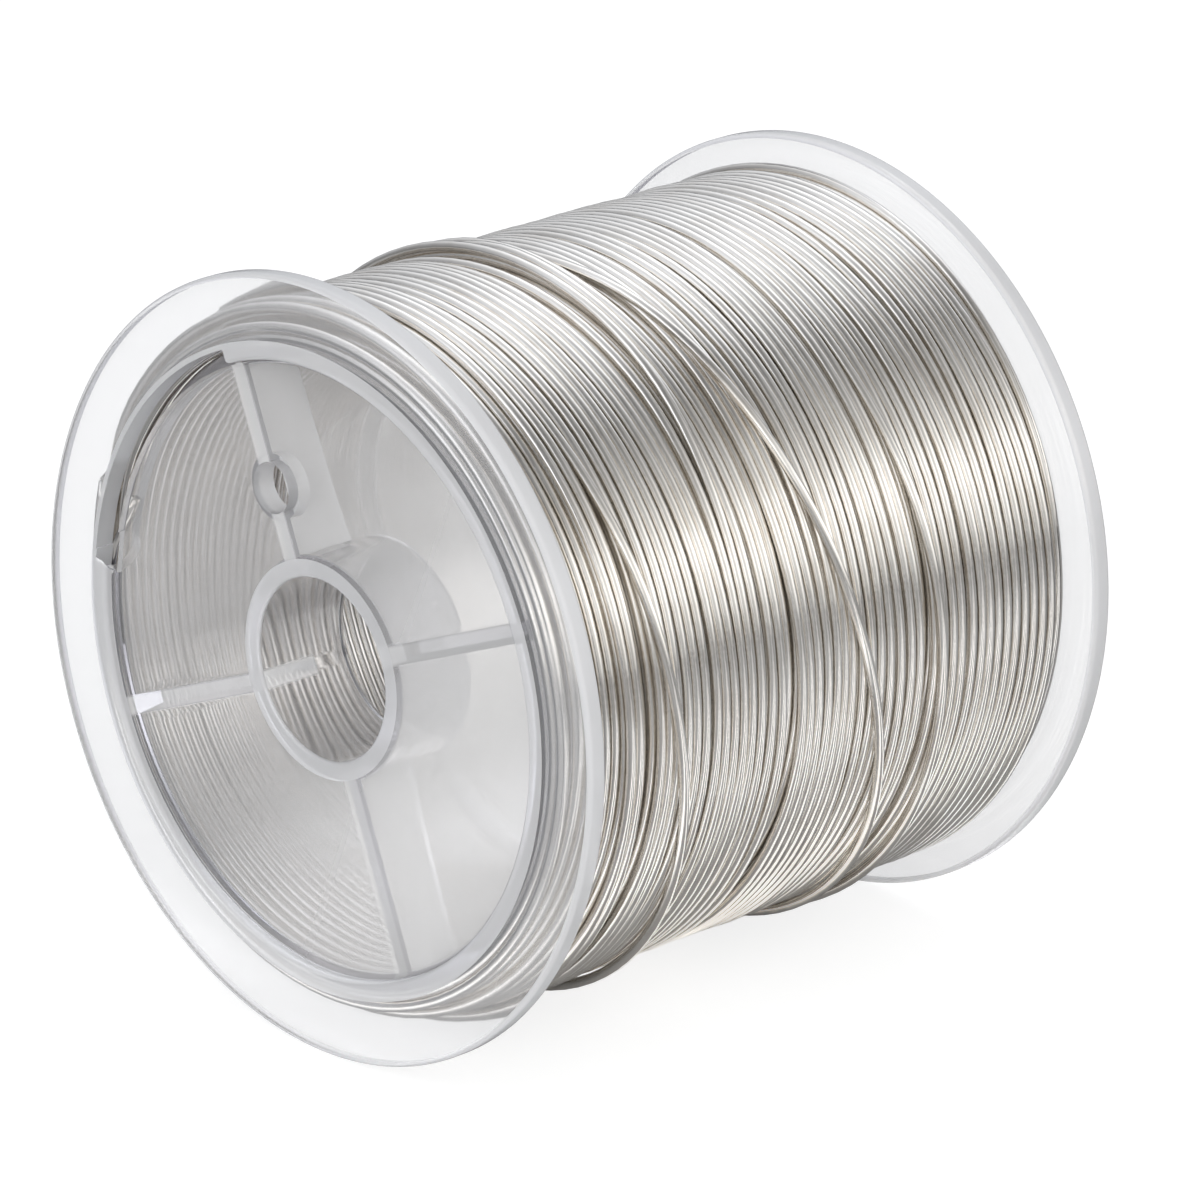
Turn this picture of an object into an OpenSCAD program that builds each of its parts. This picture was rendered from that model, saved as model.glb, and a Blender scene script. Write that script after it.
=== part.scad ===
// Wire spool: two clear half mouldings, joined at mid-length under the wire, and the wire on them.
// The spool's axis lies along Y, with the front end towards -Y, and the spool lies on its two rims.
// The origin is at the middle of the spool. Sizes are in millimetres.

/* [Flanges and barrel] */
// Diameter of the two flanges
flange_d = 75; // [70:1:100]
// Length of the spool over both flanges
spool_len = 67.2; // [50:0.1:100]
// Thickness of each flange
flange_t = 2; // [1.6:0.1:3]
// Rounding of the flange's rim
rim_round = 0.5; // [0.2:0.1:0.7]
// Outer diameter of the barrel that carries the wire
barrel_d = 61; // [54:1:62]
// Wall thickness of the barrel
barrel_wall = 1.2; // [1.2:0.1:2]
// Length of the lap joint between the two halves
lap_len = 3; // [2:0.5:6]

/* [Ends] */
// Depth of the end web below the flange's outer face
web_recess = 1.3; // [1:0.1:2.5]
// Thickness of the end web
web_t = 1; // [0.8:0.1:1.6]
// Diameter of the spindle bore
bore_d = 17.5; // [14:0.1:20]
// Wall thickness of the hub tube
hub_wall = 1.75; // [1.4:0.05:2.5]
// Length of the hub tube and its bore, from the web's outer face
hub_len = 10.7; // [8:0.1:16]
// Number of ribs between the hub tube and the barrel
rib_count = 4; // [3:1:6]
// Thickness of each rib at the web
rib_root_t = 1.9; // [1.2:0.05:2.2]
// Thickness of each rib at its deep edge
rib_t = 1.15; // [0.9:0.05:1.2]
// Distance from the ribs' inner edge to the hub tube's inner end
rib_setback = 3.4; // [0.5:0.1:5]
// Angle of the first rib above the +X direction
rib_turn = 22; // [0:1:45]

/* [Drive pin hole] */
// Diameter of the drive pin hole
pin_d = 4.9; // [4:0.1:6]
// Distance from the spool's axis to the drive pin hole
pin_offset = 17.3; // [16:0.1:20]
// Wall thickness of the collar round the drive pin hole
pin_wall = 0.8; // [0.6:0.1:1.2]
// Depth of the drive pin hole, from the web's outer face
pin_depth = 2.4; // [2:0.1:5]

/* [Starting notch] */
// Angle that the wire's starting notch takes along the barrel
notch_sweep = 64; // [20:1:80]
// Depth of the notch below the flange's outer face
notch_depth = 4; // [3.5:0.1:6]

/* [Wire] */
// Diameter of the wire
wire_d = 1.02; // [0.8:0.01:1.3]
// Number of layers on the barrel
layers = 4; // [2:1:4]
// Number of loops drawn in the outer layer
loops = 24; // [10:1:24]
// Radius of the bend where the outer layer leaves and meets a flange
bend_r = 1.5; // [1.2:0.1:2]

/* [Hidden] */
$fn = 96;
flange_r = flange_d / 2;
half_len = spool_len / 2;
barrel_r = barrel_d / 2;
barrel_in = barrel_r - barrel_wall;
bore_r = bore_d / 2;
hub_r = bore_r + hub_wall;
pin_r = pin_d / 2;
rib_len = hub_len - web_t - rib_setback;
// The lap joint shares the barrel's wall between a spigot and a socket, with a little play.
lap_r = barrel_r - barrel_wall / 2;
lap_play = 0.05;
notch_play = 0.2;
// The ribs and the web reach this far into the walls that they join, and cuts run this far past them.
root = 0.3;
// The notch's far end is round, and a little wider than the notch.
notch_end_r = notch_depth * 0.55;
// The pin hole sits on the rib that points up and to the left, seen from the front.
pin_angle = rib_turn + 360 / rib_count;
clear_col = [0.93, 0.94, 0.97, 0.35];
wire_col = [0.80, 0.79, 0.77];

// Winding
wind_half = half_len - flange_t;
turn_r = barrel_r + (layers - 0.5) * wire_d;
rings_per_loop = 24;
tube_sides = 6;
bend_rings = 4;
seat_gap = 0.05;
// The tube's flat side and straight lengths cut inside its own circle, and the inner layers stop there.
tube_flat = wire_d / 2 * cos(180 / tube_sides);
inner_layers_r = (turn_r - tube_flat) * cos(180 / rings_per_loop) - seat_gap;

// The outer layer's route is laid out flat: s runs round the barrel and y along it. From the middle
// of the spool it climbs steadily, turns through a bend and runs straight into the flange.
loop_s = 360 / rings_per_loop * PI / 180 * turn_r;
wind_end_y = wind_half - wire_d - bend_r;
half_steps = loops * rings_per_loop / 2;
climb = wind_end_y / half_steps;
half_s = half_steps * loop_s;

// Each point is [s, y, direction], with direction in degrees from the s axis.
helix_flat = [for (i = [0 : half_steps]) [i * loop_s, i * climb, 0]];
bend_flat = [
    for (i = [1 : bend_rings])
        let (a = 90 * i / bend_rings)
        [half_s + bend_r * sin(a), wind_end_y + bend_r * (1 - cos(a)), a]
];
end_flat = [[half_s + bend_r, wind_half, 90]];
upper_flat = concat(helix_flat, bend_flat, end_flat);
lower_flat = [for (i = [len(upper_flat) - 1 : -1 : 1]) let (p = upper_flat[i]) [-p[0], -p[1], p[2]]];
route = concat(lower_flat, upper_flat);

// Wraps a flat point round the barrel, and gives a ring of the tube square to the route there.
function turn_of(s) = s / turn_r * 180 / PI;
function on_barrel(p, r) = [r * cos(turn_of(p[0])), p[1], r * sin(turn_of(p[0]))];
function outward(p) = [cos(turn_of(p[0])), 0, sin(turn_of(p[0]))];
function sideways(p) =
    let (a = turn_of(p[0]))
    [sin(a) * sin(p[2]), cos(p[2]), -cos(a) * sin(p[2])];
function ring_at(p) = [
    for (k = [0 : tube_sides - 1])
        let (a = 360 * (k + 0.5) / tube_sides)
        on_barrel(p, turn_r) + wire_d / 2 * (cos(a) * outward(p) + sin(a) * sideways(p))
];

// Least gap of the tube to itself: every point is set against the points about one loop ahead.
centres = [for (p = route) on_barrel(p, turn_r)];
nearest = rings_per_loop / 2;
furthest = rings_per_loop * 3 / 2;
gaps = [
    for (i = [0 : len(centres) - furthest - 1])
        for (j = [nearest : furthest])
            norm(centres[i + j] - centres[i]) - wire_d
];
echo(least_gap_mm = min(gaps));

module tube_along(points) {
    rings = [for (p = points) ring_at(p)];
    last = len(rings) - 1;
    verts = [for (ring = rings) each ring];
    sides = [
        for (i = [0 : last - 1])
            for (k = [0 : tube_sides - 1])
                let (
                    a = i * tube_sides + k,
                    b = i * tube_sides + (k + 1) % tube_sides,
                    c = a + tube_sides,
                    d = b + tube_sides
                )
                each [[a, c, b], [b, c, d]]
    ];
    first_cap = [for (k = [1 : tube_sides - 2]) [0, k, k + 1]];
    top = last * tube_sides;
    last_cap = [for (k = [1 : tube_sides - 2]) [top, top + k + 1, top + k]];
    polyhedron(points = verts, faces = concat(sides, first_cap, last_cap), convexity = 10);
}

// Turns a profile of radius and depth below the outer face about the spool's axis, at the front end.
module turned() {
    translate([0, -half_len, 0])
        rotate([-90, 0, 0])
            rotate_extrude()
                children();
}

// Lays out a drawing of the end face, seen from the front, and gives it a depth range.
module sunk(from, depth) {
    translate([0, -half_len + from + depth, 0])
        rotate([90, 0, 0])
            linear_extrude(depth)
                children();
}

module flange_profile() {
    translate([barrel_in, 0])
        square([flange_r - rim_round - barrel_in, flange_t]);
    translate([barrel_in, rim_round])
        square([flange_r - barrel_in, flange_t - 2 * rim_round]);
    for (y = [rim_round, flange_t - rim_round])
        translate([flange_r - rim_round, y])
            circle(rim_round, $fn = 32);
}

module barrel_profile(inner_reach, outer_reach) {
    translate([barrel_in, 0])
        square([lap_r - lap_play - barrel_in, half_len + inner_reach]);
    translate([barrel_in, 0])
        square([barrel_wall, half_len + min(inner_reach, outer_reach)]);
    translate([lap_r, 0])
        square([barrel_r - lap_r, half_len + outer_reach]);
}

module end_profile() {
    translate([bore_r, web_recess])
        square([barrel_in + root - bore_r, web_t]);
    translate([bore_r, web_recess])
        square([hub_wall, hub_len]);
}

// Each rib grows thinner from the web to its deep edge, and is drawn across its thickness.
module ribs() {
    for (i = [0 : rib_count - 1])
        rotate([0, -(rib_turn + 360 * i / rib_count), 0])
            translate([hub_r - root, -half_len + web_recess + web_t, 0])
                rotate([90, 0, 90])
                    linear_extrude(barrel_in - hub_r + 2 * root)
                        polygon([
                            [-root, -rib_root_t / 2],
                            [rib_len, -rib_t / 2],
                            [rib_len, rib_t / 2],
                            [-root, rib_root_t / 2]
                        ]);
}

module pin_place() {
    rotate(pin_angle)
        translate([pin_offset, 0])
            children();
}

module starting_notch() {
    end_turn = notch_end_r / barrel_r * 180 / PI;
    sunk(-root, notch_depth + root)
        intersection() {
            difference() {
                circle(barrel_r + notch_play);
                circle(barrel_in - notch_play);
            }
            polygon([
                [0, 0],
                for (i = [0 : 8])
                    let (a = pin_angle + (notch_sweep - end_turn) * i / 8)
                    flange_r * [cos(a), sin(a)]
            ]);
        }
    rotate([0, -(pin_angle + notch_sweep - end_turn), 0])
        translate([barrel_in - 2 * notch_play, -half_len + notch_depth / 2, 0])
            rotate([0, 90, 0])
                cylinder(r = notch_end_r, h = barrel_wall + 2.5 * notch_play);
}

module half_spool(inner_reach, outer_reach) {
    color(clear_col)
        difference() {
            union() {
                turned() {
                    flange_profile();
                    barrel_profile(inner_reach, outer_reach);
                    end_profile();
                }
                ribs();
                sunk(web_recess, pin_depth)
                    pin_place()
                        circle(pin_r + pin_wall);
            }
            sunk(-root, web_recess + pin_depth + root)
                pin_place()
                    circle(pin_r);
            starting_notch();
        }
}

module front_half() {
    half_spool(lap_len, 0);
}

module rear_half() {
    rotate([0, 0, 180])
        half_spool(-lap_len - lap_play, -lap_play);
}

module inner_layers() {
    color(wire_col)
        rotate([90, 0, 0])
            rotate_extrude()
                translate([barrel_r + seat_gap, -wind_half + seat_gap])
                    square([inner_layers_r - barrel_r - seat_gap, 2 * (wind_half - seat_gap)]);
}

module outer_layer() {
    color(wire_col)
        tube_along(route);
}

front_half();
rear_half();
inner_layers();
outer_layer();
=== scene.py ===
"""Looks for the wire spool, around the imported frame: clear plastic mouldings and a metal winding."""

import math

import bmesh
import bpy
import numpy as np
from mathutils import Matrix, Vector


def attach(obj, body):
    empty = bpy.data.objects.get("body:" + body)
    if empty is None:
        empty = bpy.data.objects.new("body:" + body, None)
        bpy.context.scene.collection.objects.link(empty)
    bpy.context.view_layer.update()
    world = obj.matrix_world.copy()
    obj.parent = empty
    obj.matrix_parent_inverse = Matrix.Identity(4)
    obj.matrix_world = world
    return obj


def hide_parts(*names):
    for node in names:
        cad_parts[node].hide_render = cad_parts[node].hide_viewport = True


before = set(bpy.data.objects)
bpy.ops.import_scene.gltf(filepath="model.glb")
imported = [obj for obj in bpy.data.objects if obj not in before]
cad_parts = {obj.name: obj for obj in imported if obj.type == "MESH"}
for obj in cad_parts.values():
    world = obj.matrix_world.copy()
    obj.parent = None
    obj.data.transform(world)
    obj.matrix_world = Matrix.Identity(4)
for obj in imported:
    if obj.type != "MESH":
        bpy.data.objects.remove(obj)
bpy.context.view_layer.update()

MM = 0.001

# The spool, in millimetres and degrees, as in the CAD source
FLANGE_R = 37.5
HALF_LEN = 33.6
FLANGE_T = 2.0
RIM_ROUND = 0.5
BARREL_R = 30.5
BARREL_IN = 29.3
LAP_LEN = 3.0
LAP_PLAY = 0.05
LAP_R = 29.9
WEB_RECESS = 1.3
WEB_T = 1.0
WEB_END = WEB_RECESS + WEB_T
BORE_R = 8.75
HUB_R = 10.5
HUB_LEN = 10.7
RIB_ROOT_T = 1.9
RIB_T = 1.15
RIB_LEN = 6.3
RIB_TURNS = (22.0, 112.0, 202.0, 292.0)
PIN_TURN = 112.0
PIN_OFFSET = 17.3
PIN_R = 2.45
PIN_WALL = 0.8
PIN_DEPTH = 2.4
NOTCH_TURNS = (112.0, 176.0)
NOTCH_DEPTH = 4.0
NOTCH_END_R = 2.2
NOTCH_PLAY = 0.2
WIRE_R = 0.51
# Pieces that join reach this far into each other, and cuts run this far past the surface.
ROOT = 0.3

# The mouldings' small fillets, in millimetres
RECESS_MOUTH_FILLET = 0.5
RECESS_FILLET = 0.6
FLANGE_FILLET = 0.15
LAP_FILLET = 0.1
WEB_FILLET = 0.4
BORE_FILLET = 0.35
HUB_END_FILLET = 0.3

# How finely the pieces are drawn
REVOLVE_STEPS = 384
FILLET_STEPS = 6
DISC_STEPS = 64
NOTCH_STEPS = 48
SHARP_ANGLE = 35.0
STEPS_PER_LOOP = 96
WIRE_SIDES = 8


# ---------------------------------------------------------------- camera and light

CAMERA_AZIMUTH = 46.608
CAMERA_ELEVATION = 20.027
CAMERA_DISTANCE = 0.68989
CAMERA_RIGHT = 0.00218
CAMERA_UP = -0.00115
FOCAL_PIXELS = 7297.5
PHOTO_PIXELS = 1200
SENSOR_MM = 36.0
CAMERA_CLIP = (0.05, 20.0)


def add_camera():
    """The photograph's camera, which looks at the origin but for a small shift right and up."""
    azimuth = math.radians(CAMERA_AZIMUTH)
    elevation = math.radians(CAMERA_ELEVATION)
    back = Vector(
        (
            math.sin(azimuth) * math.cos(elevation),
            -math.cos(azimuth) * math.cos(elevation),
            math.sin(elevation),
        )
    )
    right = Vector((math.cos(azimuth), math.sin(azimuth), 0.0))
    up = back.cross(right)
    data = bpy.data.cameras.new("camera")
    data.sensor_width = SENSOR_MM
    data.lens = SENSOR_MM * FOCAL_PIXELS / PHOTO_PIXELS
    data.clip_start, data.clip_end = CAMERA_CLIP
    camera = bpy.data.objects.new("camera", data)
    turn = Matrix((right, up, back)).transposed().to_4x4()
    place = back * CAMERA_DISTANCE + right * CAMERA_RIGHT + up * CAMERA_UP
    camera.matrix_world = Matrix.Translation(place) @ turn
    bpy.context.scene.collection.objects.link(camera)
    bpy.context.scene.camera = camera


# Each lamp's name, centre, size across and along Y in metres, and power in watts
SOFTBOXES = (
    ("right_softbox", (0.62, 0.0, 0.40), (0.42, 0.9), 1.4),
    ("left_softbox", (-0.50, 0.2, 0.62), (0.55, 0.5), 1.0),
    ("front_softbox", (0.42, -0.78, 0.38), (0.9, 0.5), 5.2),
)


def add_softbox(name, centre, size, power):
    """An area lamp that faces the spool. It lights diffuse surfaces only."""
    data = bpy.data.lights.new(name, "AREA")
    data.shape = "RECTANGLE"
    data.size, data.size_y = size
    data.energy = power
    lamp = bpy.data.objects.new(name, data)
    z = Vector(centre).normalized()
    y = Vector((0, 1, 0))
    y = (y - z * y.dot(z)).normalized()
    x = y.cross(z)
    lamp.matrix_world = (
        Matrix.Translation(centre) @ Matrix((x, y, z)).transposed().to_4x4()
    )
    lamp.visible_camera = False
    lamp.visible_glossy = False
    lamp.visible_transmission = False
    bpy.context.scene.collection.objects.link(lamp)


class Nodes:
    """Short calls for building a node tree."""

    def __init__(self, tree):
        self.tree = tree
        tree.nodes.clear()

    def add(self, kind, **values):
        node = self.tree.nodes.new(kind)
        for name, value in values.items():
            setattr(node, name, value)
        return node

    def feed(self, socket, source):
        if isinstance(source, bpy.types.NodeSocket):
            self.tree.links.new(source, socket)
        else:
            socket.default_value = source

    def math(self, operation, *inputs, clamp=False):
        node = self.add("ShaderNodeMath", operation=operation, use_clamp=clamp)
        for socket, source in zip(node.inputs, inputs):
            self.feed(socket, source)
        return node.outputs[0]

    def ramp(self, source, start, end, low=0.0, high=1.0):
        """A smooth step of source from start to end."""
        node = self.add("ShaderNodeMapRange", interpolation_type="SMOOTHSTEP")
        for name, value in (
            ("Value", source),
            ("From Min", start),
            ("From Max", end),
            ("To Min", low),
            ("To Max", high),
        ):
            self.feed(node.inputs[name], value)
        return node.outputs["Result"]

    def noise(self, vector, scale, detail):
        node = self.add("ShaderNodeTexNoise")
        self.feed(node.inputs["Vector"], vector)
        node.inputs["Scale"].default_value = scale
        node.inputs["Detail"].default_value = detail
        return node.outputs["Fac"]

    def mix_colour(self, factor, a, b):
        node = self.add("ShaderNodeMix", data_type="RGBA")
        self.feed(node.inputs["Factor"], factor)
        self.feed(node.inputs["A"], a)
        self.feed(node.inputs["B"], b)
        return node.outputs["Result"]

    def ramp_line(self, source, start, end):
        """A straight step of source from start to end."""
        node = self.add("ShaderNodeMapRange")
        for name, value in (("Value", source), ("From Min", start), ("From Max", end)):
            self.feed(node.inputs[name], value)
        return node.outputs["Result"]

    def levels(self, source, table):
        """A smooth line of levels up to 2 over a table of (source, level)."""
        first, last = table[0][0], table[-1][0]
        node = self.add("ShaderNodeValToRGB")
        node.color_ramp.interpolation = "B_SPLINE"
        stops = node.color_ramp.elements
        while len(stops) < len(table):
            stops.new(0.5)
        for stop, (at, level) in zip(stops, table):
            stop.position = (at - first) / (last - first)
            stop.color = (level / 2, level / 2, level / 2, 1)
        self.feed(node.inputs[0], self.ramp_line(source, first, last))
        return self.math("MULTIPLY", node.outputs[0], 2.0)

    def blend(self, a, b, share):
        """a where share is 0 and b where it is 1."""
        node = self.add("ShaderNodeMix")
        for socket, source in zip(node.inputs, (share, None, a, b)):
            if source is not None:
                self.feed(socket, source)
        return node.outputs[0]

    def by_ray(self, lighting, reflected, shown):
        """One value for light that falls on things, one for reflections and one that is seen."""
        path = self.add("ShaderNodeLightPath").outputs
        seen = self.math("MAXIMUM", path["Is Camera Ray"], path["Is Transmission Ray"])
        value = self.blend(lighting, reflected, path["Is Glossy Ray"])
        return self.blend(value, shown, seen)


AMBIENT = 0.55

# What metal reflects of the studio, by the height angle round the spool's axis: 0 is level
# to the right, 90 overhead and 180 level to the left.
STUDIO_BANDS = (
    (-20, 0.43),
    (2, 0.52),
    (24, 1.56),
    (38, 0.78),
    (66, 0.205),
    (84, 0.30),
    (112, 1.54),
    (140, 0.76),
    (180, 0.27),
    (215, 0.34),
)
# How much of that light comes from each direction along the spool: (Y of the direction, share)
STUDIO_ALONG = (
    (-1.0, 1.45),
    (-0.88, 1.40),
    (-0.65, 0.72),
    (-0.35, 0.62),
    (0.0, 0.80),
    (0.4, 1.35),
    (0.7, 1.40),
    (0.9, 0.95),
    (1.0, 0.65),
)
# The light from overhead and the left is a little cooler than that from the right. It changes
# between these two height angles.
COOL_LIGHT = (0.97, 1.0, 1.06, 1)
COOL_BETWEEN = (50, 110)
WHITE = (1, 1, 1, 1)


def add_world():
    """An even ambient light with a white backdrop, and soft bands of light for the metal to reflect."""
    world = bpy.data.worlds.new("studio")
    world.use_nodes = True
    bpy.context.scene.world = world
    n = Nodes(world.node_tree)
    place = n.add("ShaderNodeTexCoord")
    split = n.add("ShaderNodeSeparateXYZ")
    n.feed(split.inputs[0], place.outputs["Generated"])
    x, y, z = (split.outputs[name] for name in "XYZ")
    # The height angle jumps straight down, where metal reflects the floor instead.
    turn = n.math("ARCTAN2", n.math("MULTIPLY", x, -1.0), z)
    turn = n.math("MULTIPLY_ADD", turn, 180 / math.pi, 90.0)
    bands = n.math("MULTIPLY", n.levels(turn, STUDIO_BANDS), n.levels(y, STUDIO_ALONG))
    background = n.add("ShaderNodeBackground")
    cool = n.mix_colour(n.ramp(turn, *COOL_BETWEEN), WHITE, COOL_LIGHT)
    path = n.add("ShaderNodeLightPath").outputs
    white = n.math("MAXIMUM", path["Is Camera Ray"], path["Is Transmission Ray"])
    n.feed(background.inputs["Color"], n.mix_colour(white, cool, WHITE))
    n.feed(background.inputs["Strength"], n.by_ray(AMBIENT, bands, 1.0))
    out = n.add("ShaderNodeOutputWorld")
    n.feed(out.inputs["Surface"], background.outputs[0])


FLOOR_SIZE = 6.0
FLOOR_TONE = 0.80
# What is seen of the floor: an even white, and a share that shadows fall on.
FLOOR_WHITE = 0.80
FLOOR_SHADED = 0.32
# Painted reflection: metal sees the floor in these painted tones, not the floor's own, by the distance
# beside the spool's axis in metres.
FLOOR_PAINTED_REFLECTION = (
    (0.02, 0.56),
    (0.045, 0.54),
    (0.07, 0.54),
    (0.11, 0.62),
    (0.18, 0.52),
    (0.30, 0.38),
)
# Painted highlights: bright stripes, painted on the reflected floor only, give the wire its highlights:
# metres from one to the next, the tone's share between them, and what the middle of a stripe adds. A
# higher power makes narrower stripes. They fade out between these two distances along Y, past both ends
# of the spool.
PAINTED_HIGHLIGHT_STRIPES = (0.040, 0.68, 2.80)
HIGHLIGHT_STRIPE_POWER = 4.0
HIGHLIGHT_STRIPES_FADE = (0.05, 0.08)


def add_floor():
    """A pale floor that keeps the spool's shadow and shows as white. Metal sees it in painted tones
    with painted highlight stripes.
    """
    mesh = bpy.data.meshes.new("floor")
    half = FLOOR_SIZE / 2
    z = -FLANGE_R * MM
    corners = [(-half, -half, z), (half, -half, z), (half, half, z), (-half, half, z)]
    mesh.from_pydata(corners, [], [(0, 1, 2, 3)])
    floor = bpy.data.objects.new("floor", mesh)
    bpy.context.scene.collection.objects.link(floor)
    material = bpy.data.materials.new("pale_floor")
    material.use_nodes = True
    n = Nodes(material.node_tree)
    place = n.add("ShaderNodeTexCoord").outputs["Object"]
    split = n.add("ShaderNodeSeparateXYZ")
    n.feed(split.inputs[0], place)
    beside = n.math("ABSOLUTE", split.outputs["X"])
    # Painted reflection: the tone and highlight stripes that only the metal's reflections see.
    spacing, between, extra = PAINTED_HIGHLIGHT_STRIPES
    wave = n.math("COSINE", n.math("MULTIPLY", split.outputs["Y"], 2 * math.pi / spacing))
    highlight_stripe = n.math("POWER", n.math("MULTIPLY_ADD", wave, 0.5, 0.5), HIGHLIGHT_STRIPE_POWER)
    along = n.math("ABSOLUTE", split.outputs["Y"])
    highlight_stripe = n.math("MULTIPLY", highlight_stripe, n.ramp(along, *HIGHLIGHT_STRIPES_FADE, 1.0, 0.0))
    share = n.math("MULTIPLY_ADD", highlight_stripe, extra, between)
    reflected = n.math("MULTIPLY", n.levels(beside, FLOOR_PAINTED_REFLECTION), share)
    diffuse = n.add("ShaderNodeBsdfDiffuse")
    tone = n.by_ray(FLOOR_TONE, reflected, FLOOR_SHADED)
    grey = n.add("ShaderNodeCombineColor")
    for socket in grey.inputs:
        n.feed(socket, tone)
    n.feed(diffuse.inputs["Color"], grey.outputs[0])
    white = n.add("ShaderNodeEmission")
    n.feed(white.inputs["Strength"], n.by_ray(0.0, 0.0, FLOOR_WHITE))
    both = n.add("ShaderNodeAddShader")
    n.feed(both.inputs[0], diffuse.outputs[0])
    n.feed(both.inputs[1], white.outputs[0])
    out = n.add("ShaderNodeOutputMaterial")
    n.feed(out.inputs["Surface"], both.outputs[0])
    mesh.materials.append(material)


# ---------------------------------------------------------------- materials

# Noise runs mostly between these values.
NOISE_RANGE = (0.3, 0.7)
PLASTIC_IOR = 1.49
# Light that passes the plastic unbent loses this little at each surface.
UNBENT_TINT = (0.985, 0.985, 0.988, 1)
# The surface is uneven: the noise scale of its roughness and of its ripples, per metre, and the
# ripples' strength and height in metres.
ROUGHNESS_SCALE = 180.0
RIPPLE_SCALE = 60.0
RIPPLE_STRENGTH = 0.02
RIPPLE_HEIGHT = 0.0002
# Painted light: the front web, and a little the hub, grow milkier in this direction of X and Z, between
# these two distances from the axis in metres, which paints a brighter patch towards +X and down.
BRIGHT_PATCH_TOWARDS = (0.93, -0.37)
BRIGHT_PATCH_BETWEEN = (-0.012, 0.022)
# Painted light: milkier, lighter strips over the ribs paint the ribs' look seen through the web and, in
# the bore, through the hub's wall. They fade out between these shares of a rib's half thickness. In the
# bore they end where the ribs' deep edge shows through the hub's wall: the depth of that edge, and how
# far to either side of it they fade, in millimetres.
STRIP_EDGES = (0.7, 1.2)
STRIP_END = 7.8
STRIP_END_FADE = 0.2


def over_ribs(n, split):
    """1 over a rib, and 0 beside and past it. Two lines through the axis cover all four ribs."""
    nearest = None
    for turn in RIB_TURNS[:2]:
        a = math.radians(turn)
        across = n.math("MULTIPLY", split.outputs["Z"], math.cos(a))
        off = n.math("MULTIPLY_ADD", split.outputs["X"], -math.sin(a), across)
        off = n.math("ABSOLUTE", off)
        nearest = off if nearest is None else n.math("MINIMUM", nearest, off)
    half = RIB_ROOT_T / 2 * MM
    across_rib = n.ramp(nearest, half * STRIP_EDGES[0], half * STRIP_EDGES[1], 1.0, 0.0)
    end = (STRIP_END - HALF_LEN) * MM
    fade = STRIP_END_FADE * MM
    along_rib = n.ramp(split.outputs["Y"], end - fade, end + fade, 1.0, 0.0)
    return n.math("MULTIPLY", across_rib, along_rib)


def plastic(name, tint, clearness, roughness, absorb, fade=0.0, rib_clearness=None):
    """Clear moulded plastic. The clear share of its surface is clearness, less by fade towards +X and
    down, which paints a brighter patch there, and rib_clearness over the ribs, which paints lighter
    strips where the ribs show through. The rest is white. Roughness is a range, and absorb is the
    absorption per metre in red, green and blue, or None."""
    material = bpy.data.materials.new(name)
    material.use_nodes = True
    n = Nodes(material.node_tree)
    place = n.add("ShaderNodeTexCoord").outputs["Object"]
    body = n.add("ShaderNodeBsdfPrincipled")
    body.inputs["Base Color"].default_value = tint
    split = n.add("ShaderNodeSeparateXYZ")
    n.feed(split.inputs[0], place)
    # Painted light: the clear share falls towards +X and down, which paints a brighter patch there.
    towards_bright_patch = n.math(
        "ADD",
        n.math("MULTIPLY", split.outputs["X"], BRIGHT_PATCH_TOWARDS[0]),
        n.math("MULTIPLY", split.outputs["Z"], BRIGHT_PATCH_TOWARDS[1]),
    )
    clear_share = n.ramp(towards_bright_patch, *BRIGHT_PATCH_BETWEEN, clearness, clearness - fade)
    # Painted light: lighter strips where the ribs show through.
    if rib_clearness is not None:
        clear_share = n.blend(clear_share, rib_clearness, over_ribs(n, split))
    n.feed(body.inputs["Transmission Weight"], clear_share)
    body.inputs["IOR"].default_value = PLASTIC_IOR
    flow = n.noise(place, ROUGHNESS_SCALE, detail=3.0)
    n.feed(body.inputs["Roughness"], n.ramp(flow, *NOISE_RANGE, *roughness))
    bump = n.add("ShaderNodeBump")
    bump.inputs["Strength"].default_value = RIPPLE_STRENGTH
    bump.inputs["Distance"].default_value = RIPPLE_HEIGHT
    n.feed(bump.inputs["Height"], n.noise(place, RIPPLE_SCALE, detail=1.0))
    n.feed(body.inputs["Normal"], bump.outputs[0])
    path = n.add("ShaderNodeLightPath")
    clear = n.add("ShaderNodeBsdfTransparent")
    clear.inputs["Color"].default_value = UNBENT_TINT
    # What metal reflects and what lamps light is seen through the plastic unbent. Bent rays count
    # as glossy too, so the second step gives them the body again.
    surface = body.outputs[0]
    for ray, to_clear in (
        ("Is Glossy Ray", True),
        ("Is Transmission Ray", False),
        ("Is Shadow Ray", True),
    ):
        mix = n.add("ShaderNodeMixShader")
        n.feed(mix.inputs[0], path.outputs[ray])
        n.feed(mix.inputs[1], surface)
        n.feed(mix.inputs[2], clear.outputs[0] if to_clear else body.outputs[0])
        surface = mix.outputs[0]
    out = n.add("ShaderNodeOutputMaterial")
    n.feed(out.inputs["Surface"], surface)
    if absorb:
        volume = n.add("ShaderNodeVolumeAbsorption")
        strongest = max(absorb)
        volume.inputs["Color"].default_value = (*[1 - a / strongest for a in absorb], 1)
        volume.inputs["Density"].default_value = strongest
        n.feed(out.inputs["Volume"], volume.outputs[0])
    return material


BRIGHT_WIRE = (0.93, 0.90, 0.855, 1)
TARNISHED_WIRE = (0.86, 0.82, 0.765, 1)
WIRE_ROUGHNESS = (0.13, 0.22)
# The noise scale of the tarnish and of the drawing marks, per metre, and the noise over which the
# tarnish sets in
TARNISH_SCALE = 220.0
MARKS_SCALE = 2600.0
TARNISH_BETWEEN = (0.35, 0.75)


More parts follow.
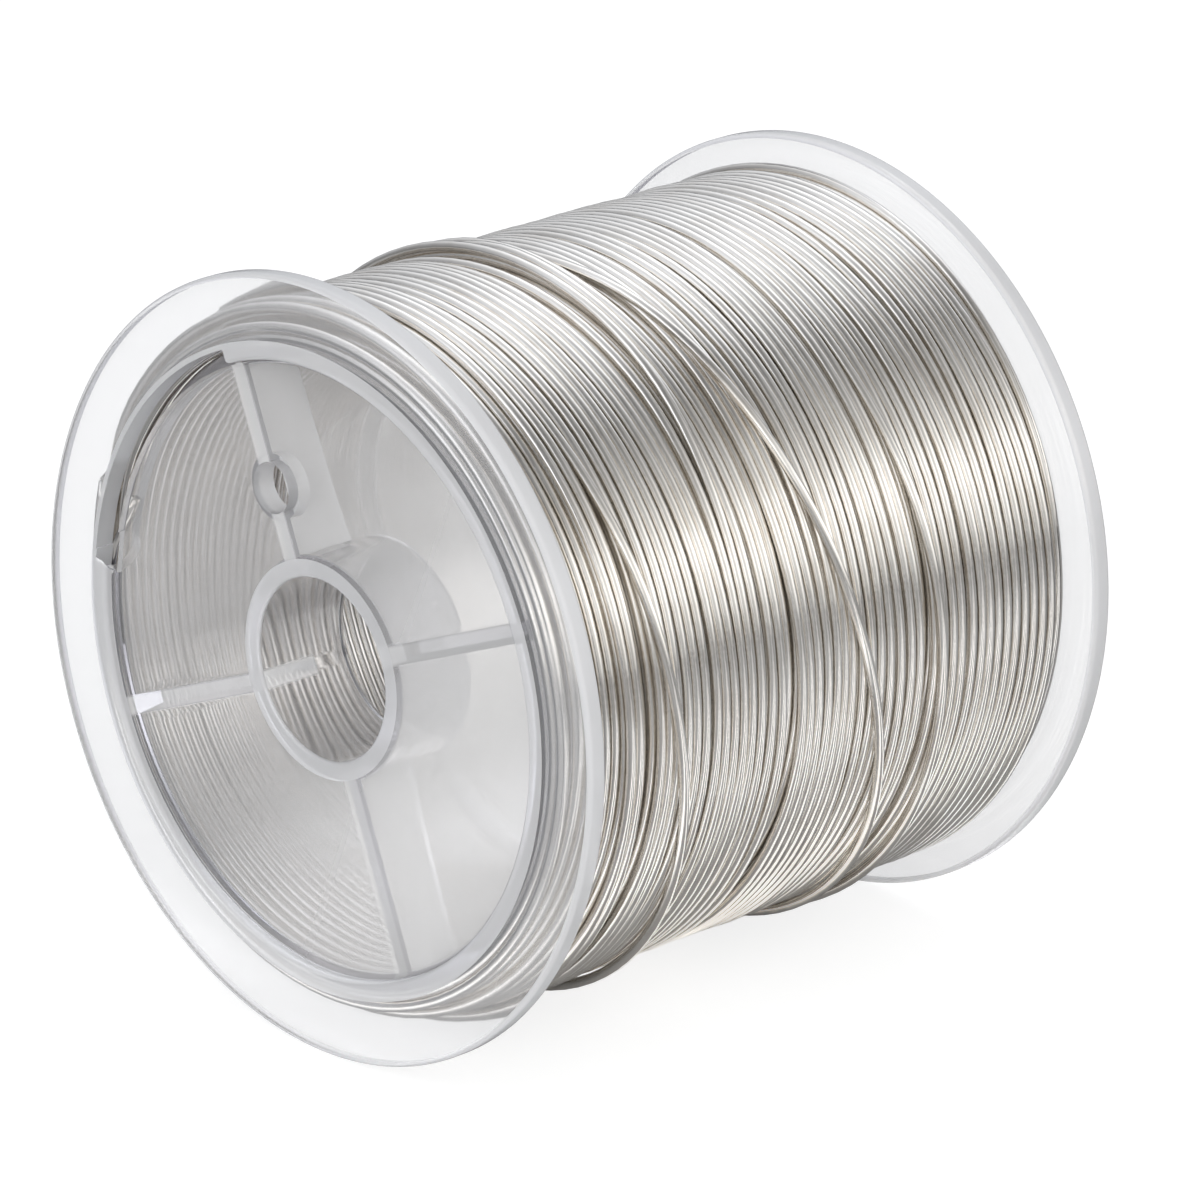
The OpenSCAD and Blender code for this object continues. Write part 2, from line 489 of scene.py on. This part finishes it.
def wire_metal():
    """Bright drawn wire, with faint drawing marks and a little tarnish."""
    material = bpy.data.materials.new("silver_wire")
    material.use_nodes = True
    n = Nodes(material.node_tree)
    place = n.add("ShaderNodeTexCoord").outputs["Object"]
    body = n.add("ShaderNodeBsdfPrincipled")
    body.inputs["Metallic"].default_value = 1.0
    tarnish = n.ramp(n.noise(place, TARNISH_SCALE, detail=3.0), *TARNISH_BETWEEN)
    colour = n.mix_colour(tarnish, BRIGHT_WIRE, TARNISHED_WIRE)
    n.feed(body.inputs["Base Color"], colour)
    marks = n.noise(place, MARKS_SCALE, detail=2.0)
    n.feed(body.inputs["Roughness"], n.ramp(marks, *NOISE_RANGE, *WIRE_ROUGHNESS))
    out = n.add("ShaderNodeOutputMaterial")
    n.feed(out.inputs["Surface"], body.outputs[0])
    return material


# ---------------------------------------------------------------- half mouldings

# Where each of the PLASTICS is used: one moulding looks clearer or milkier with its thickness.
CLEAR, WEB, RIM, FLANGE, RING, RIB, HUB, BORE = range(8)
# The front face is milkier over the barrel's wall, out to this radius, and over the hub's.
RING_R = 31.2
# In telling the faces apart: how far a face's middle may lie off its surface, in millimetres, and
# how much a face of the web faces along Y.
FACE_SLACK = 0.05
WEB_FACING = 0.3


def turned(point, degrees):
    """An (x, z) point turned about the axis."""
    a = math.radians(degrees)
    x, z = point
    return (x * math.cos(a) - z * math.sin(a), x * math.sin(a) + z * math.cos(a))


PIN_CENTRE = turned((PIN_OFFSET, 0), PIN_TURN)


def rounded(corners):
    """An outline of (radius, depth) points from right-angled corners (radius, depth, fillet)."""
    points = []
    count = len(corners)
    for i, (r, d, fillet) in enumerate(corners):
        here = Vector((r, d))
        if fillet <= 0:
            points.append(here)
            continue
        before = (Vector(corners[i - 1][:2]) - here).normalized()
        after = (Vector(corners[(i + 1) % count][:2]) - here).normalized()
        start = here + before * fillet
        end = here + after * fillet
        centre = here + (before + after) * fillet
        for k in range(FILLET_STEPS + 1):
            a = math.pi / 2 * k / FILLET_STEPS
            points.append(centre + (start - centre) * math.cos(a) + (end - centre) * math.sin(a))
    return points


def revolve(name, outline):
    """A closed ring from an outline of (radius, depth below the front face), in metres."""
    count = len(outline)
    turns = np.arange(REVOLVE_STEPS) * (2 * math.pi / REVOLVE_STEPS)
    r = np.array([p[0] for p in outline]) * MM
    y = (np.array([p[1] for p in outline]) - HALF_LEN) * MM
    verts = np.zeros((REVOLVE_STEPS, count, 3))
    verts[:, :, 0] = np.cos(turns)[:, None] * r
    verts[:, :, 1] = y
    verts[:, :, 2] = np.sin(turns)[:, None] * r
    faces = []
    for i in range(REVOLVE_STEPS):
        j = (i + 1) % REVOLVE_STEPS
        for k in range(count):
            m = (k + 1) % count
            faces.append((i * count + k, i * count + m, j * count + m, j * count + k))
    return new_object(name, verts.reshape(-1, 3), faces)


def new_object(name, verts, faces):
    mesh = bpy.data.meshes.new(name)
    mesh.from_pydata([tuple(v) for v in verts], [], faces)
    mesh.update()
    item = bpy.data.objects.new(name, mesh)
    bpy.context.scene.collection.objects.link(item)
    return item


def at_depth(x, z, depth):
    """A point in metres from X, Z and the depth below the front face in millimetres."""
    return (x * MM, (depth - HALF_LEN) * MM, z * MM)


def prism_faces(count):
    """The faces of a prism whose points are those of one end and then those of the other."""
    faces = [(k, (k + 1) % count, count + (k + 1) % count, count + k) for k in range(count)]
    faces.append(tuple(range(count - 1, -1, -1)))
    faces.append(tuple(range(count, 2 * count)))
    return faces


def sunk_prism(name, outline, top, depth):
    """A prism of an (x, z) outline in millimetres, from top to top + depth below the front face."""
    verts = [at_depth(x, z, d) for d in (top, top + depth) for x, z in outline]
    return new_object(name, verts, prism_faces(len(outline)))


def disc(centre, radius, steps=DISC_STEPS):
    return [
        (
            centre[0] + radius * math.cos(2 * math.pi * k / steps),
            centre[1] + radius * math.sin(2 * math.pi * k / steps),
        )
        for k in range(steps)
    ]


def fix_normals(item):
    work = bmesh.new()
    work.from_mesh(item.data)
    bmesh.ops.recalc_face_normals(work, faces=work.faces)
    work.to_mesh(item.data)
    work.free()


def combine(item, other, operation):
    """Joins other to item or cuts it out, and drops other."""
    for each in (item, other):
        fix_normals(each)
    modifier = item.modifiers.new("combine", "BOOLEAN")
    modifier.operation = operation
    modifier.solver = "EXACT"
    modifier.object = other
    graph = bpy.context.evaluated_depsgraph_get()
    mesh = bpy.data.meshes.new_from_object(item.evaluated_get(graph))
    item.modifiers.clear()
    item.data = mesh
    bpy.data.objects.remove(other)


def barrel_corners(inner_reach, outer_reach):
    """The flange and barrel of one half, with its share of the lap joint."""
    corners = [
        (BARREL_IN, 0.0, RECESS_MOUTH_FILLET),
        (RING_R, 0.0, 0.0),
        (FLANGE_R, 0.0, RIM_ROUND),
        (FLANGE_R, FLANGE_T, RIM_ROUND),
        (BARREL_R, FLANGE_T, FLANGE_FILLET),
        (BARREL_R, HALF_LEN + outer_reach, 0.0),
    ]
    if inner_reach > outer_reach:
        corners += [
            (LAP_R - LAP_PLAY, HALF_LEN + outer_reach, 0.0),
            (LAP_R - LAP_PLAY, HALF_LEN + inner_reach, LAP_FILLET),
        ]
    else:
        corners += [
            (LAP_R, HALF_LEN + outer_reach, 0.0),
            (LAP_R, HALF_LEN + inner_reach, 0.0),
        ]
    return corners + [(BARREL_IN, HALF_LEN + inner_reach, LAP_FILLET)]


def end_corners():
    """The end web's deep face, the hub tube, the bore and the web's front face."""
    hub_end = WEB_RECESS + HUB_LEN
    return [
        (BARREL_IN, WEB_END, WEB_FILLET),
        (HUB_R, WEB_END, WEB_FILLET),
        (HUB_R, hub_end, HUB_END_FILLET),
        (BORE_R, hub_end, HUB_END_FILLET),
        (BORE_R, WEB_RECESS, BORE_FILLET),
        (HUB_R, WEB_RECESS, 0.0),
        (BARREL_IN, WEB_RECESS, RECESS_FILLET),
    ]


def notch_cutter():
    """A ring sector as wide as the barrel's wall, with a round far end."""
    end_turn = math.degrees(NOTCH_END_R / BARREL_R)
    first, last = NOTCH_TURNS[0], NOTCH_TURNS[1] - end_turn
    turns = [first + (last - first) * k / NOTCH_STEPS for k in range(NOTCH_STEPS + 1)]
    inner = [turned((BARREL_IN - NOTCH_PLAY, 0), a) for a in turns]
    outer = [turned((BARREL_R + NOTCH_PLAY, 0), a) for a in reversed(turns)]
    cutter = sunk_prism("notch", inner + outer, -ROOT, NOTCH_DEPTH + ROOT)
    circle = disc((0, NOTCH_DEPTH / 2), NOTCH_END_R, NOTCH_STEPS)
    verts = []
    for r in (BARREL_IN - 2 * NOTCH_PLAY, BARREL_R + NOTCH_PLAY / 2):
        for across, depth in circle:
            x, z = turned((r, across), last)
            verts.append(at_depth(x, z, depth))
    combine(cutter, new_object("notch_end", verts, prism_faces(NOTCH_STEPS)), "UNION")
    return cutter


def tapered_rib(turn):
    """A rib from the hub to the barrel, thinner at its deep edge than at the web."""
    inner, outer = HUB_R - ROOT, BARREL_IN + ROOT
    verts = []
    for depth, thickness in ((WEB_END - ROOT, RIB_ROOT_T), (WEB_END + RIB_LEN, RIB_T)):
        for r, side in ((inner, -1), (outer, -1), (outer, 1), (inner, 1)):
            x, z = turned((r, side * thickness / 2), turn)
            verts.append(at_depth(x, z, depth))
    return new_object("rib", verts, prism_faces(4))


def half_moulding(name, inner_reach, outer_reach, materials):
    """Half of the spool. The inner and outer part of its barrel reach this far past mid-length."""
    corners = barrel_corners(inner_reach, outer_reach) + end_corners()
    body = revolve(name, rounded(corners))
    for turn in RIB_TURNS:
        combine(body, tapered_rib(turn), "UNION")
    collar = disc(PIN_CENTRE, PIN_R + PIN_WALL)
    collar = sunk_prism("collar", collar, WEB_END - ROOT, PIN_DEPTH - WEB_T + ROOT)
    combine(body, collar, "UNION")
    hole = sunk_prism("hole", disc(PIN_CENTRE, PIN_R), 0.0, WEB_RECESS + PIN_DEPTH)
    combine(body, hole, "DIFFERENCE")
    combine(body, notch_cutter(), "DIFFERENCE")
    mesh = body.data
    mesh.name = name
    mesh.materials.clear()
    for material in materials:
        mesh.materials.append(material)
    for face in mesh.polygons:
        x, y, z = (c / MM for c in face.center)
        face.material_index = zone(x, z, y + HALF_LEN, face.normal.y)
    mesh.shade_smooth()
    mesh.set_sharp_from_angle(angle=math.radians(SHARP_ANGLE))
    return body


def zone(x, z, depth, facing):
    """Which of the plastics a face takes, from its middle and its normal's share along Y."""
    r = math.hypot(x, z)
    if r > FLANGE_R - RIM_ROUND - FACE_SLACK:
        return RIM
    if r > BARREL_IN - FACE_SLACK:
        if depth < WEB_RECESS and r < RING_R:
            return RING
        return FLANGE if depth < FLANGE_T + FACE_SLACK else CLEAR
    if r < HUB_R + 2 * FACE_SLACK:
        if depth < WEB_RECESS + BORE_FILLET + FACE_SLACK:
            return RING
        return HUB if r > HUB_R - FACE_SLACK else BORE
    if abs(facing) > WEB_FACING and depth < WEB_END + WEB_FILLET + FACE_SLACK:
        return WEB
    from_pin = math.hypot(x - PIN_CENTRE[0], z - PIN_CENTRE[1])
    by_pin = from_pin < PIN_R + PIN_WALL + 2 * FACE_SLACK
    if by_pin and depth < WEB_RECESS + PIN_DEPTH + 2 * FACE_SLACK:
        return RING
    return RIB


# ---------------------------------------------------------------- winding

WIRE_D = 2 * WIRE_R
# The turns nearly touch the flanges.
FLANGE_PLAY = 0.03
WIND_REACH = HALF_LEN - FLANGE_T - WIRE_R - FLANGE_PLAY
WINDING_SEED = 41
STATION_TURN = 2 * math.pi / STEPS_PER_LOOP
# The wire starts at this angle, in the starting notch. From there it comes up over this span of
# degrees, from this far below the first layer and this far along Y, in millimetres.
START_TURN = 160.0
LEAD_SPAN = 14.0
LEAD_DROP = 1.6
LEAD_SHIFT = 0.5
# The wire's other end is left on the far side.
LAST_TURN = 230.0
# Each layer's name, its turns, how far they stray along Y, and its gaps to the flanges where it
# starts and ends, in millimetres
LAYERS = (
    ("wire_first_layer", 56, 0.06, 0.0, 0.0),
    ("wire_second_layer", 53, 0.12, 0.0, 2.2),
    ("wire_third_layer", 55, 0.16, 0.0, 0.0),
    ("wire_outer_layer", 48, 0.16, 1.8, 4.6),
)
# The waves round a turn that its stray is made of
WANDER_WAVES = 5
# The turns stray less in the first and the last of this many parts of a layer.
EVEN_PARTS = 12
# The wire is stiff: how many stations to either side even out its place along Y and its radius.
EVEN_ALONG = 3
EVEN_RADIUS = 4
# The outer layer hangs loose under the spool by about this much, and this share more or less.
SAG = 0.1
SAG_CHANGE = 0.3
# Turns of the outer layer that cross others: depth behind the front face in millimetres, the
# angle at which they settle, how far they stray, and over how many degrees.
LARGE_STRAYS = (
    (27.9, 95.0, 17.3, 180.0),
    (10.6, 58.0, 9.4, 150.0),
    (45.4, 63.0, 3.2, 160.0),
)
# The same of the small strays, which lie by chance at any angle and between these values
SMALL_STRAYS = 3
SMALL_STRAY_DEPTHS = (6, 60)
SMALL_STRAY_REACH = (0.7, 1.4)
SMALL_STRAY_SPANS = (60, 110)
# A stray turn takes this many degrees to leave its place, and stays loose for this many past the
# angle at which it settles again.
LEAVING_SPAN = 140.0
LOOSE_SPAN = 40.0
# A loose turn stands off the layer by this much, or by less where it strays less than this reach.
STRAY_SLACK = 0.12
LOOSE_REACH = 10


def smooth_noise(rng, count, step):
    """Smooth random values, one per station, with a new value every step stations."""
    knots = rng.standard_normal(count // step + 4)
    at = np.arange(count) / step
    i = at.astype(int)
    t = at - i
    t = t * t * (3 - 2 * t)
    return knots[i] * (1 - t) + knots[i + 1] * t


def wander(rng, count):
    """How far a layer's turns stray along Y: smoothly round a turn, and differently in the next."""
    turn = np.arange(count) * STATION_TURN
    step = STEPS_PER_LOOP * 3 // 2
    stray = np.zeros(count)
    for wave in range(1, WANDER_WAVES + 1):
        stray += smooth_noise(rng, count, step) * np.cos(wave * turn) / wave
        stray += smooth_noise(rng, count, step) * np.sin(wave * turn) / wave
    return stray


def lay_turns(rng, turns, unevenness, start_gap, end_gap):
    """Distance along Y of one layer's stations from the flange where the layer starts."""
    n = STEPS_PER_LOOP
    count = turns * n
    full = 2 * WIND_REACH - start_gap - end_gap
    progress = np.clip(np.arange(count) / n - 0.5, 0, turns - 1) / (turns - 1)
    away_from_ends = np.minimum(1, EVEN_PARTS * np.minimum(progress, 1 - progress))
    wanted = progress * full + unevenness * wander(rng, count) * away_from_ends
    along = np.maximum(wanted, 0)
    for start in range(n, count, n):
        turn = slice(start, start + n)
        along[turn] = np.maximum(wanted[turn], along[start - n : start] + WIRE_D)
    set_in = np.sin(math.pi / 2 * np.minimum(1, 2 * np.arange(count) / n)) ** 2
    return np.minimum(along, full) + start_gap * set_in


def soften(values, reach):
    """Evens values out over reach stations to either side."""
    kernel = np.hanning(2 * reach + 3)[1:-1]
    padded = np.pad(values, reach, mode="edge")
    return np.convolve(padded, kernel / kernel.sum(), mode="valid")


def stack_radius(route):
    """Radius at which each station rests on the barrel and on the turns laid before it."""
    n = STEPS_PER_LOOP
    radius = np.full(len(route), BARREL_R + WIRE_R)
    for start in range(n, len(route), n):
        y = route[start : start + n]
        need = radius[start : start + n].copy()
        for before in range(0, start, n):
            below = slice(before, before + len(y))
            gap = np.abs(route[below] - y)
            lift = np.sqrt(np.maximum(WIRE_D**2 - gap**2, 0))
            need = np.maximum(need, np.where(lift > 0, radius[below] + lift, 0))
        radius[start : start + n] = need
    # The wire is stiff, so it spans the hollows between the turns that it crosses.
    taut = np.max([np.roll(radius, shift) for shift in (-1, 0, 1)], axis=0)
    taut[0], taut[-1] = radius[0], radius[-1]
    return soften(taut, EVEN_RADIUS)


def strays(rng):
    """The outer layer's turns that leave their place, cross others and come back."""
    small = [
        (
            rng.uniform(*SMALL_STRAY_DEPTHS),
            rng.uniform(0, 360),
            rng.choice((-1, 1)) * rng.uniform(*SMALL_STRAY_REACH),
            rng.uniform(*SMALL_STRAY_SPANS),
        )
        for _ in range(SMALL_STRAYS)
    ]
    return list(LARGE_STRAYS) + small


def add_strays(rng, y, first_step):
    """Moves the stray turns along Y, and gives how much they stand off the layer below."""
    step = 360 / STEPS_PER_LOOP
    turn = (np.arange(len(y)) + first_step) * step
    moved = y.copy()
    slack = np.zeros(len(y))
    for depth, settle, reach, span in strays(rng):
        at_angle = np.flatnonzero(np.abs((turn - settle + 180) % 360 - 180) <= step / 2)
        place = at_angle[np.argmin(np.abs(y[at_angle] + HALF_LEN - depth))]
        back = turn[place] - turn
        rise = np.clip(back / span, 0, 1)
        fall = np.clip((span + LEAVING_SPAN - back) / LEAVING_SPAN, 0, 1)
        moved += reach * np.sin(math.pi / 2 * np.minimum(rise, fall)) ** 2
        hang = np.clip((back + LOOSE_SPAN) / (span + LOOSE_SPAN), 0, 1)
        off = np.sin(math.pi / 2 * np.minimum(hang, fall)) ** 2
        slack += STRAY_SLACK * min(1, abs(reach) / LOOSE_REACH) * off
    return np.clip(moved, -WIND_REACH, WIND_REACH), slack


def wire_tube(name, y, radius, first_step, material):
    """A tube through the stations, given by their places along Y and their radii in millimetres."""
    count = len(y)
    turn = (np.arange(count) + first_step) * STATION_TURN
    outward = np.stack([np.cos(turn), np.zeros(count), np.sin(turn)], 1)
    centre = outward * radius[:, None]
    centre[:, 1] = y
    tangent = np.gradient(centre, axis=0)
    tangent /= np.linalg.norm(tangent, axis=1)[:, None]
    side = np.cross(tangent, outward)
    side /= np.linalg.norm(side, axis=1)[:, None]
    out = np.cross(side, tangent)
    angles = (np.arange(WIRE_SIDES) + 0.5) * (2 * math.pi / WIRE_SIDES)
    verts = (
        centre[:, None, :]
        + WIRE_R * np.cos(angles)[None, :, None] * out[:, None, :]
        + WIRE_R * np.sin(angles)[None, :, None] * side[:, None, :]
    ) * MM
    i = np.arange(count - 1)[:, None] * WIRE_SIDES
    k = np.arange(WIRE_SIDES)[None, :]
    m = (k + 1) % WIRE_SIDES
    quads = np.stack([i + k, i + WIRE_SIDES + k, i + WIRE_SIDES + m, i + m], 2)
    faces = quads.reshape(-1, 4).tolist()
    faces.append(list(range(WIRE_SIDES)))
    top = (count - 1) * WIRE_SIDES
    faces.append([top + s for s in range(WIRE_SIDES - 1, -1, -1)])
    item = new_object(name, verts.reshape(-1, 3), faces)
    fix_normals(item)
    item.data.shade_smooth()
    item.data.materials.append(material)
    return item


def stations(degrees):
    """How many stations a turn by these degrees takes."""
    return round(degrees / 360 * STEPS_PER_LOOP)


def make_winding(material):
    """The wire, one route in four layers, as one tube to a layer."""
    rng = np.random.default_rng(WINDING_SEED)
    first_step = stations(START_TURN)
    routes = []
    for i, (_, *layout) in enumerate(LAYERS):
        along = lay_turns(rng, *layout) - WIND_REACH
        routes.append(soften(along if i % 2 == 0 else -along, EVEN_ALONG))
    routes[-1] = routes[-1][: -stations((START_TURN - LAST_TURN) % 360)]
    before = sum(len(route) for route in routes[:-1])
    routes[-1], slack = add_strays(rng, routes[-1], first_step + before)
    route = np.concatenate(routes)
    radius = stack_radius(route)
    turn = (np.arange(len(slack)) + first_step + before) * STATION_TURN
    looseness = 1 + SAG_CHANGE * smooth_noise(rng, len(slack), STEPS_PER_LOOP)
    radius[before:] += slack + SAG * np.maximum(0, -np.sin(turn)) * looseness
    lead = stations(LEAD_SPAN)
    down = np.cos(math.pi / 2 * np.arange(lead) / lead) ** 2
    radius[:lead] -= LEAD_DROP * down
    route[:lead] += LEAD_SHIFT * down
    pieces = []
    start = 0
    for (name, *_), layer in zip(LAYERS, routes):
        part = slice(start, start + len(layer) + 1)
        tube = wire_tube(name, route[part], radius[part], first_step + start, material)
        pieces.append(tube)
        start += len(layer)
    return pieces


# ---------------------------------------------------------------- the scene

add_camera()
add_world()
add_floor()
for softbox in SOFTBOXES:
    add_softbox(*softbox)

# A clear drum full of turns of wire needs long light paths.
cycles = bpy.context.scene.cycles
cycles.max_bounces = 24
cycles.transmission_bounces = 24
cycles.glossy_bounces = 8
cycles.transparent_max_bounces = 48

# Absorption per metre in red, green and blue
ABSORB = (6, 6, 4.8)
# In the order of CLEAR, WEB and the others: the name, the tint, the clear share, the roughness and
# the absorption. The bore has none, because Cycles would carry it on past the hub's other plastic.
PLASTICS = (
    plastic("clear_plastic", (0.98, 0.98, 0.983, 1), 0.93, (0.03, 0.06), ABSORB),
    plastic(
        "web_plastic",
        (0.99, 0.985, 0.978, 1),
        0.88,
        (0.04, 0.07),
        ABSORB,
        # fade paints a brighter patch towards +X and down; rib_clearness paints lighter strips over the
        # ribs.
        fade=0.22,
        rib_clearness=0.60,
    ),
    plastic("rim_plastic", (0.965, 0.965, 0.97, 1), 0.43, (0.16, 0.22), ABSORB),
    plastic("flange_plastic", (0.95, 0.95, 0.953, 1), 0.86, (0.05, 0.09), ABSORB),
    plastic("ring_plastic", (0.985, 0.985, 0.99, 1), 0.53, (0.12, 0.18), ABSORB),
    plastic("rib_plastic", (0.99, 0.99, 0.996, 1), 0.78, (0.10, 0.15), ABSORB),
    # fade paints a faint brighter patch on the hub.
    plastic("hub_plastic", (0.98, 0.98, 0.983, 1), 0.93, (0.03, 0.06), ABSORB, fade=0.08),
    # rib_clearness paints lighter strips where the ribs show through the bore's wall.
    plastic("bore_plastic", (0.98, 0.98, 0.983, 1), 0.94, (0.02, 0.05), None, rib_clearness=0.35),
)
WIRE = wire_metal()

front = half_moulding("clear_front_half", LAP_LEN, 0.0, PLASTICS)
rear = half_moulding("clear_rear_half", -LAP_LEN - LAP_PLAY, -LAP_PLAY, PLASTICS)
rear.matrix_world = Matrix.Rotation(math.pi, 4, "Z")
for piece, node in ((front, "front_half"), (rear, "rear_half")):
    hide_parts(node)
    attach(piece, "root")

layers = make_winding(WIRE)
for piece in layers:
    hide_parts("outer_layer" if piece is layers[-1] else "inner_layers")
    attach(piece, "root")

bpy.context.scene.view_settings.view_transform = "Standard"
